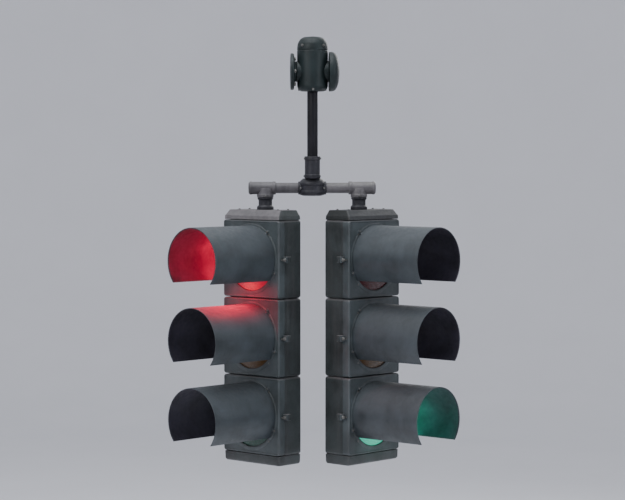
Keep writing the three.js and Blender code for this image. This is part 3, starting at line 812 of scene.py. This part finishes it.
def lens_clips():
    """Clips inside the door that press the lens onto its seat."""
    clip = brick(-9, 9, LENS_SEAT + 4.3, LENS_SEAT + 6.3, 143, 166, 2, 0.4)
    clip.add(screw_head(4.5, 3), at(0, LENS_SEAT + 6.2, 160) @ turn(-90, "X"))
    clip.add(lathe([(0, 0), (5, 0), (5, 10), (0, 10)], 16), at(0, LENS_SEAT + 4.4, 160) @ FORWARD)
    return copies(clip, [turn(angle, "Y") for angle in (45, 135, 225, 315)])


def reflector_shape():
    mouth, rim, sheet = 140, 53, 1.6

    def bowl(radius):
        return rim - 82 * (1 - (radius / mouth) ** 2)

    radii = [21 + (mouth - 21) * i / 24 for i in range(25)]
    inside = [(r, bowl(r) + sheet) for r in radii]
    flange = fillet([(mouth, rim + 2), (LENS_RADIUS, rim + 2), (LENS_RADIUS, rim), (mouth + 2, rim)], 0.6, 2)
    outside = [(r, bowl(r)) for r in radii[::-1]]
    return lathe([*inside, *flange[1:], *outside], 96, closed=True).moved(FORWARD)


def reflector_screws():
    return copies(screw_head(5, 3), [at(x, HOUSING_FRONT + 1.9, z) @ FORWARD for x, z in four_posts()])


def socket_shape():
    outside = [(0, -51.5), (18, -51.5), (18, -44), (16.5, -42), (16.5, -36), (18, -34), (18, -26)]
    shape = turned(outside + [(13.6, -26), (13.6, -46), (0, -46)], 1, 3, 48).moved(FORWARD)
    for x in (-11, 11):
        shape.add(brick(x - 2.5, x + 2.5, 46, 51.4, -5, 5, 1, 0.4))
    return shape


def bulb_shape():
    neck = [(0, -24), (12.4, -24), (13, -18), (19, -12)]
    globe = [(27, -2), (30.5, 8), (31, 16), (28.5, 26), (22, 36), (12, 42), (0, 44)]
    return turned(neck + globe, 5, 4, 48).moved(FORWARD)


def lamp_base_shape():
    """The lamp's threaded brass base and its contact."""
    profile = [(0, -45), (5, -45), (6, -42), (12, -41)]
    for thread in range(5):
        z = -40 + thread * 3.2
        profile += [(12.9, z + 0.4), (13, z + 1.2), (11.9, z + 2.4)]
    profile += [(12.9, -23.4), (0, -23.4)]
    return lathe(profile, 40).moved(FORWARD)


def filament_shape():
    """Two support wires and the coil between them, inside the bulb."""
    wire = lathe([(0, -22), (0.6, -22), (0.5, 14), (0, 14)], 8).moved(FORWARD)
    shape = copies(wire, [at(x) for x in (-6.4, 6.4)])
    coil = [(0, -7), (0.9, -7)]
    for i in range(14):
        coil += [(1.3, -6.5 + i), (0.8, -6 + i)]
    coil += [(0.9, 7), (0, 7)]
    return shape.add(lathe(coil, 10), at(0, -14, 0) @ ALONG_X)


def latch_shape(side):
    """A wing screw: shank, collar, boss and two wings."""
    x = -side * LATCH_X
    boss = [(9, 0), (9, 2), (7, 5), (5.6, 13), (0, 14)]
    core = [(0, 0), (4, 0), (4, LATCH_SHANK)] + [(r, LATCH_SHANK + rise) for r, rise in boss]
    shape = turned(core, 1, 3, 32).moved(at(x, LATCH_TIP, 0) @ FORWARD)
    wing = [(3, -4), (8, -5.5), (11.5, -9), (12.4, -12.5), (10.5, -15.8), (7.5, -15.2), (5, -11.5), (2, -10)]
    plate = slab(fillet(wing, 1.5, 3, closed=True), -2.3, 2.3, 1.1)
    return shape.add(copies(plate, [at(x, LATCH_SEAT, 0) @ mirrored(flip) for flip in (1, -1)]))


def hinge_pins(side):
    """The pins with their heads, in the housing's lugs."""
    shank = [(0, -21.5), (3, -21.5), (PIN_RADIUS, -21), (PIN_RADIUS, 19)]
    pin = turned(shank + [(5.4, 19.2), (5.4, 20.6), (4.4, 21.8), (0, 22)], 0.5, 2, 20)
    return copies(pin, [at(side * HINGE_X, HINGE_Y, level) for level in (-HINGE_Z, HINGE_Z)])


def build_section(head, side, level, step):
    middle = Vector((DROP_X + side * NIPPLE_OFFSET, HUB_Y, HEAD_CENTRE_Z + step * SECTION_PITCH))
    placed = Matrix.Translation(middle * MM) @ turn(HEAD_YAW * side, "Z")
    tag = f"{head}_{level}"
    body, leaf, screw = f"head_{head}", f"leaf_{tag}", f"screw_{tag}"

    def put(name, shape, material, rides, slot, replaces=(), sharp=32, own_axes=False):
        build(f"{name}_{tag}", shape, material, rides, slot, placed, replaces, sharp, own_axes)

    zinc = "latch_steel"

    put("housing_shell", housing_shape(side, step), SHADED_BODY_PAINT, body, "housing_plastic", [f"housing_{tag}"])
    if step:
        paint = CAP_LIT_AND_SHADED_PAINTS[head] if step > 0 else SHADED_BODY_PAINT
        put("end_cap", cap_shape(step), paint, body, "housing_plastic")
    if step > 0:
        put("cap_screws", cap_screws(), STEEL, body, zinc)
    put("hinge_pins", hinge_pins(side), STEEL, body, zinc)
    put("reflector_bowl", reflector_shape(), MIRROR, body, "reflector_aluminium", [f"reflector_{tag}"])
    put("reflector_screws", reflector_screws(), STEEL, body, zinc)
    put("socket_body", socket_shape(), CERAMIC, body, "socket_ceramic", [f"lamp_socket_{tag}"])
    put("bulb", bulb_shape(), GLASS, body, "lamp_glass", [f"lamp_{tag}"], 60)
    put("lamp_base", lamp_base_shape(), BRASS, body, zinc)
    put("filament", filament_shape(), SHAFT_STEEL, body, zinc)

    put("door_frame", door_shape(side), DOOR_PAINT, leaf, "door_plastic", [f"door_{tag}"])
    put("visor_hood", visor_shape(), [VISOR_OUT, VISOR_IN], leaf, "visor_plastic", [f"visor_{tag}"], 40)
    put("visor_screws", visor_screws(), STEEL, leaf, zinc)
    lit = (head, level) in LIT
    look = (RED_LIT if level == "top" else GREEN_LIT) if lit else LENS_LOOKS[level]
    if lit:
        colour, power, scattered = BEAMS[level]
        ahead = placed @ at(0, (LENS_SEAT - LENS_RISE - 6) * MM, 0) @ FORWARD @ turn(180, "X")
        beam(f"beam_{tag}", ahead, leaf, (0.2, 0.2), colour, power)
        below = placed @ at(0, (VISOR_BACK + VISOR_FRONT) / 2 * MM, -VISOR_RADIUS * 0.66 * MM)
        beam(f"spill_{tag}", below, leaf, (0.16, 0.34), colour, scattered)
    put("lens_dome", lens_shape(), look, leaf, LENS_SLOTS[level], [f"lens_{tag}"], 50, own_axes=True)
    seal = ring_seal(OPENING - 0.2, LENS_DOME + 0.4, DOOR_FRONT + 1.4, LENS_SEAT - 0.2)
    put("lens_gasket", seal, GASKET, leaf, "door_plastic")
    put("lens_clips", lens_clips(), STEEL, leaf, zinc)
    put("door_gasket", door_seal(), GASKET, leaf, "door_plastic")
    put("wing_screw", latch_shape(side), STEEL, screw, zinc, [f"latch_{tag}"], 40)


# ---- The hanger ----


def flange_shape():
    neck = DROP_X - BOSS_REACH - GAP
    profile = [(25.3, 0), (83, 0), (83, 12), (80, 15.5), (54, 16.5), (47, 20), (46, neck), (25.3, neck)]
    return turned(profile, 2.5, 4, 96, closed=True).moved(ALONG_X)


def flange_bolts():
    seat = at(15.6, 0, 66) @ ALONG_X
    return copies(hex_nut(15, 8.5), [turn(angle, "X") @ seat for angle in range(30, 390, 60)])


def dome_shape():
    """The domed cap on the axle's end, hollow round its hub."""
    start = DROP_X + BOSS_REACH + 1
    outside = [(84, 0), (90, 0), (90, 14), (86, 26), (74, 36), (50, 43.5), (24, 46), (20, 47), (0, 47)]
    inside = [(0, 33.3), (25.3, 33.3), (25.3, 12), (34, 12), (34, 35), (66, 28), (84, 12)]
    profile = fillet(outside, 8, 6) + fillet(inside, 3, 3)
    return lathe(profile, 96).moved(at(start) @ ALONG_X)


def dome_screws():
    """Set screws round the domed cap's rim."""
    screw = turned([(0, 0), (5, 0), (5, 1.6), (0, 1.6)], 0.5, 2, 20)
    seat = at(DROP_X + BOSS_REACH + 8, 0, 88.2)
    return copies(screw, [turn(angle, "X") @ seat for angle in (0, 120, 240)])


def hanger_shape():
    """The hanger's body: a domed top, a seam round it, a socket for the pipe and a boss on each side."""
    r, bottom, socket_end = HANGER_RADIUS, -90, -70.5
    top = [(0, 160), (40, 156.5), (57, 146), (67, 128), (r, 108)]
    seam = [(r, 99), (r - 1.4, 97.5), (r - 1.4, 95.5), (r, 94)]
    below = [(r, -66), (66, -79), (57, -87), (50, bottom)]
    socket = [(SOCKET_RADIUS, bottom), (SOCKET_RADIUS, socket_end)]
    shape = lathe(fillet(top + seam + below + socket, 6, 5) + [(0, socket_end)], 96)
    ring = [(25.8, 40), (25.8, BOSS_REACH), (46, BOSS_REACH), (48, BOSS_REACH - 2), (48, 44), (40, 40)]
    boss = turned(ring, 1.5, 3, 72, closed=True)
    for angle in (-90, 90):
        shape.add(boss, turn(angle, "Y"))
    return shape.moved(at(DROP_X))


def hanger_screws():
    """Set screws that lock the drop pipe, and the seam bolts of the hanger's top."""
    screw = turned([(0, 0), (5.5, 0), (5.5, 7), (4.4, 8), (0, 8)], 0.6, 2, 20)
    shape = copies(screw, [turn(angle, "Z") @ at(60, 0, -81) @ ALONG_X for angle in (20, 160, 270)])
    seat = at(66.8, 0, 118) @ turn(80, "Y")
    shape.add(copies(hex_nut(11, 6), [turn(angle, "Z") @ seat for angle in (45, 135, 225, 315)]))
    return shape.moved(at(DROP_X))


def pipe_shape(radius, bore, z0, z1):
    return turned([(bore, z0), (radius, z0), (radius, z1), (bore, z1)], 0.8, 2, 72, closed=True)


def adjuster_shape():
    """The offset coupling: a rounded block with a collar at the pipe and at the hub's stub."""

    def stadium(radius, z):
        return [(x, y + HUB_Y if y > 1e-6 else y, z) for x, y, z in circle(radius, z, 72)]

    r = ADJUSTER_RADIUS
    lower = [(r - 5, 0), (r - 1.4, 1), (r, 4), (r, 16), (r - 2, 19)]
    rings = [stadium(radius, ADJUSTER_BOTTOM + rise) for radius, rise in lower]
    rings += [stadium(radius, ADJUSTER_TOP - rise) for radius, rise in lower[::-1]]
    return Shape().loft(rings).moved(at(DROP_X))


def adjuster_screws():
    seat = at(ADJUSTER_RADIUS - 2.5, 0, 0) @ ALONG_X
    pair = copies(stud(4.6, 6), [seat, turn(180, "Z") @ seat])
    return copies(pair, [at(DROP_X, 0, ADJUSTER_TOP - 10), at(DROP_X, HUB_Y, ADJUSTER_BOTTOM + 10)])


def hub_shape():
    """The block that the arms leave from, with a sunk band at their level and a stub into the coupling."""
    r, stub, neck = HUB_RADIUS, ADJUSTER_MIDDLE - STUB_GAP, ADJUSTER_BOTTOM - GAP
    base = [(0, 5), (27, 5), (28, 0), (40, 0), (r - 4, 5), (r, 13)]
    band = [(r, -14), (r - 2, -11), (r - 2, 11), (r, 14), (r, 23), (r - 7, 33)]
    profile = [(radius, HUB_BOTTOM + rise) for radius, rise in base]
    profile += [(radius, ARM_Z + rise) for radius, rise in band]
    profile += [(42, neck), (PIPE_RADIUS, neck), (PIPE_RADIUS, stub), (0, stub)]
    shape = turned(profile, 3.5, 4, 96)
    section = [(SOCKET_RADIUS, 46), (30, 46), (30, 62), (28, 64), (SOCKET_RADIUS, 64)]
    collar = turned(section, 1, 3, 60, closed=True)
    for angle in (-90, 90):
        shape.add(collar, at(0, 0, ARM_Z) @ turn(angle, "Y"))
    return shape.moved(at(DROP_X, HUB_Y))


def hub_plug():
    """The plug under the hub, with a square for its key."""
    disc = turned([(0, 0), (26.4, 0), (26.4, 4.6), (0, 4.6)], 1.2, 3, 60)
    shape = disc.moved(at(0, 0, HUB_BOTTOM + 0.4))
    angles = [0.785 + i * math.pi / 2 for i in range(4)]
    corners = [(9 * math.cos(a), 9 * math.sin(a)) for a in angles]
    shape.add(slab(corners, HUB_BOTTOM + 0.1, HUB_BOTTOM + 2, 0.2))
    return shape.moved(at(DROP_X, HUB_Y))


def arm_shape(side):
    """An arm with a tee at its end. The tee's underside has the boss that the nipple screws into."""
    r, start, end = TEE_RADIUS, ARM_REACH - TEE_LENGTH, ARM_REACH
    pipe = [(0, 46), (PIPE_RADIUS, 46), (PIPE_RADIUS, start), (r - 2, start), (r, start + 3)]
    tee = [(r, start + 14), (r - 1.4, start + 17), (r - 1.4, end - 18), (r, end - 15), (r, end - 8)]
    profile = [*pipe, *tee, (r - 6, end - 1.5), (0, end)]
    shape = turned(profile, 3, 4, 80).moved(at(0, 0, ARM_Z) @ ALONG_X)
    boss = [(SOCKET_RADIUS, -43), (36.5, -43), (38, -41), (38, -30), (36, -26), (35, 0), (SOCKET_RADIUS, 0)]
    shape.add(turned(boss, 1.2, 3, 72, closed=True), at(NIPPLE_OFFSET, 0, ARM_Z))
    return shape.moved(at(DROP_X, HUB_Y) @ mirrored(side))


def arm_screws(side):
    """Set screws in the tee's boss, before and behind the nipple, and one in the hub."""
    boss, hub = at(NIPPLE_OFFSET, 0, ARM_Z - 36), at(54, 27 - HUB_RADIUS, ARM_Z)
    places = [boss @ turn(angle, "Z") @ at(36.5, 0, 0) @ ALONG_X for angle in (-90, 90)]
    shape = copies(stud(4.6, 7), [*places, hub @ FORWARD])
    return shape.moved(at(DROP_X, HUB_Y) @ mirrored(side))


def nipple_shape(side):
    """The nipple with its two collars, the lower of which is serrated."""
    r, bore, teeth = PIPE_RADIUS, 19, 48
    foot, top = HEAD_TOP + GAP, ARM_Z - 43 - GAP
    low_end, high_end = HEAD_TOP - 28, ARM_Z - 8
    foot_collar = [(36.5, 0), (38, 1.5), (38, 13), (33, 18), (31, 21)]
    top_collar = [(31, -13), (33, -9), (36, -6), (36, -1), (34.5, 0)]
    profile = [(bore, low_end), (r, low_end), (r, foot)]
    profile += [(radius, foot + rise) for radius, rise in foot_collar]
    profile += [(radius, top + rise) for radius, rise in top_collar]
    profile += [(r, top), (r, high_end), (bore, high_end)]
    shape = turned(profile, 1.2, 3, 72, closed=True)
    tooth = brick(36.4, 38.3, -0.8, 0.8, foot + 0.6, foot + 9, 0.4, 0.3)
    shape.add(copies(tooth, [turn(360 * i / teeth, "Z") for i in range(teeth)]))
    return shape.moved(at(DROP_X + side * NIPPLE_OFFSET, HUB_Y))


def locknut_shape(side):
    """The lugged locknut inside the head's top."""
    top = HEAD_TOP - HOUSING_WALL - GAP
    ring = [(PIPE_RADIUS, top - 10), (31, top - 10), (31, top), (PIPE_RADIUS, top)]
    shape = turned(ring, 0.8, 2, 60, closed=True)
    for i in range(8):
        shape.add(brick(29.5, 33, -4, 4, top - 9.6, top - 0.6, 1, 0.5), turn(45 * i, "Z"))
    return shape.moved(at(DROP_X + side * NIPPLE_OFFSET, HUB_Y))


def head_plug(side):
    """The closing plug in a head's bottom, flush with its end."""
    bottom = HEAD_CENTRE_Z - 1.5 * SECTION_PITCH - CROWN
    shape = turned([(0, 0.4), (30, 0.4), (31, 2), (31, 6.2), (0, 6.2)], 1, 3, 60)
    for angle in (0, 90):
        shape.add(brick(-16, 16, -2.4, 2.4, 0.1, 1.4, 1, 0.3), turn(angle, "Z"))
    return shape.moved(at(DROP_X + side * NIPPLE_OFFSET, HUB_Y, bottom) @ turn(HEAD_YAW * side, "Z"))


def build_hanger():
    cast, zinc = "cast_aluminium", "latch_steel"
    spindle = pipe_shape(AXLE_RADIUS, AXLE_BORE, 4, DROP_X + BOSS_REACH + 32).moved(ALONG_X)
    pipe = pipe_shape(PIPE_RADIUS, PIPE_BORE, ADJUSTER_MIDDLE + STUB_GAP, -60).moved(at(DROP_X))
    build("arm_flange", flange_shape(), CASTING, "arm_end", cast, replaces=["mast_arm_flange"])
    build("flange_bolts", flange_bolts(), STEEL, "arm_end", zinc)
    build("spindle", spindle, SHAFT_STEEL, "arm_end", "axle_steel", replaces=["pivot_axle"])
    build("domed_cap", dome_shape(), CASTING, "arm_end", cast, replaces=["end_cap"])
    build("dome_screws", dome_screws(), STEEL, "arm_end", zinc)
    build("hanger_casting", hanger_shape(), CASTING, "hanger", cast, replaces=["hanger_body"])
    build("hanger_screws", hanger_screws(), STEEL, "hanger", zinc)
    build("drop_tube", pipe, PIPE_PAINT, "hanger", "pipe_steel", replaces=["drop_pipe"])
    build("offset_coupling", adjuster_shape(), COUPLING, "hanger", cast, replaces=["balance_adjuster"])
    build("coupling_screws", adjuster_screws(), STEEL, "hanger", zinc)
    build("hub_casting", hub_shape(), COUPLING, "hanger", cast, replaces=["spider_hub"])
    build("hub_plug", hub_plug(), STEEL, "hanger", zinc)
    for head, side in HEADS:
        arm, nipple = arm_shape(side), nipple_shape(side)
        build(f"arm_{head}", arm, ARM_LIT_AND_SHADED_CASTINGS[head], "hanger", cast, replaces=[f"bracket_arm_{head}"])
        build(f"arm_screws_{head}", arm_screws(side), STEEL, "hanger", zinc)
        build(f"threaded_nipple_{head}", nipple, COUPLING, "hanger", "nipple_steel",
              replaces=[f"nipple_{head}"])
        build(f"locknut_{head}", locknut_shape(side), STEEL, "hanger", "nipple_steel")
        build(f"closing_plug_{head}", head_plug(side), GASKET, f"head_{head}", "housing_plastic")


# ---- Stage ----


def build_stage():
    """A pale round floor whose edge sweeps up into a wall, so that no horizon shows."""
    floor_z = cad_box[0][2] - 1.2
    flat, sweep, wall_top = 10, 5, 9
    profile = [(flat, 0)]
    for step in range(1, 13):
        angle = step / 12 * math.pi / 2
        profile.append((flat + sweep * math.sin(angle), sweep - sweep * math.cos(angle)))
    profile.append((flat + sweep, wall_top))
    steps = 96
    points = [(0, 0, floor_z)]
    for radius, height in profile:
        points += circle(radius, floor_z + height, steps)
    faces = [(0, 1 + i, 1 + (i + 1) % steps) for i in range(steps)]
    for ring in range(len(profile) - 1):
        low, high = 1 + ring * steps, 1 + (ring + 1) * steps
        faces += [(low + i, high + i, high + (i + 1) % steps, low + (i + 1) % steps) for i in range(steps)]
    mesh = bpy.data.meshes.new("floor")
    mesh.from_pydata(points, [], faces)
    mesh.shade_smooth()
    floor = bpy.data.objects.new("floor", mesh)
    bpy.context.scene.collection.objects.link(floor)
    n = Nodes("pale_floor")
    tone = n.mix(n.noise(1.5, 5), (0.80, 0.80, 0.84), (0.86, 0.86, 0.90))
    mesh.materials.append(n.set(Base_Color=tone, Roughness=0.85))

    world = bpy.data.worlds.new("studio")
    bpy.context.scene.world = world
    world.use_nodes = True
    background = world.node_tree.nodes["Background"]
    background.inputs["Color"].default_value = (0.62, 0.64, 0.68, 1)
    background.inputs["Strength"].default_value = 0.9


def area_light(name, size, power, colour):
    """An elliptical lamp that shines along its own -Z."""
    data = bpy.data.lights.new(name, "AREA")
    data.shape = "ELLIPSE"
    data.size, data.size_y = size
    data.energy = power
    data.color = colour
    light = bpy.data.objects.new(name, data)
    bpy.context.scene.collection.objects.link(light)
    return light


def beam(name, matrix, body, size, colour, power):
    """Light that a lit lens throws out, shining along the matrix's -Z. It swings with the door."""
    light = area_light(name, size, power, colour)
    light.visible_camera = False
    light.visible_glossy = False
    light.matrix_world = matrix
    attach(light, body)


def panel(name, place, target, diameter, power, colour):
    """A round soft light that faces a target."""
    light = area_light(name, (diameter, diameter), power, colour)
    light.location = place
    light.rotation_euler = (target - Vector(place)).to_track_quat("-Z", "Y").to_euler()


def build_camera(centre):
    """The viewpoint lies about ten metres in front of the heads, a little to the left of them and above."""
    heads = Vector((DROP_X * MM, 0, HEAD_CENTRE_Z * MM))
    place = heads + Vector((-0.428, -9.799, 0.851))
    data = bpy.data.cameras.new("camera")
    data.sensor_width = 36
    data.lens = 124
    camera = bpy.data.objects.new("camera", data)
    camera.location = place
    camera.rotation_euler = (centre - place).to_track_quat("-Z", "Y").to_euler()
    bpy.context.scene.collection.objects.link(camera)
    bpy.context.scene.camera = camera


middle = (Vector(cad_box[0]) + Vector(cad_box[1])) / 2
build_camera(Vector((middle.x, 0, middle.z)))
build_stage()
panel("sky_panel", (-0.6, -1.2, 4.2), middle, 5.0, 260, (0.93, 0.96, 1.0))
panel("key_panel", (-4.6, -5.2, 2.2), middle, 3.0, 200, (1.0, 0.98, 0.95))
panel("fill_panel", (5.0, -4.0, 0.6), middle, 3.0, 90, (0.95, 0.97, 1.0))
panel("rim_panel", (2.6, 4.6, 1.6), middle, 3.0, 110, (1.0, 0.99, 0.97))

build_hanger()
for head_name, head_side in HEADS:
    for level_name, level_step in LEVELS:
        build_section(head_name, head_side, level_name, level_step)
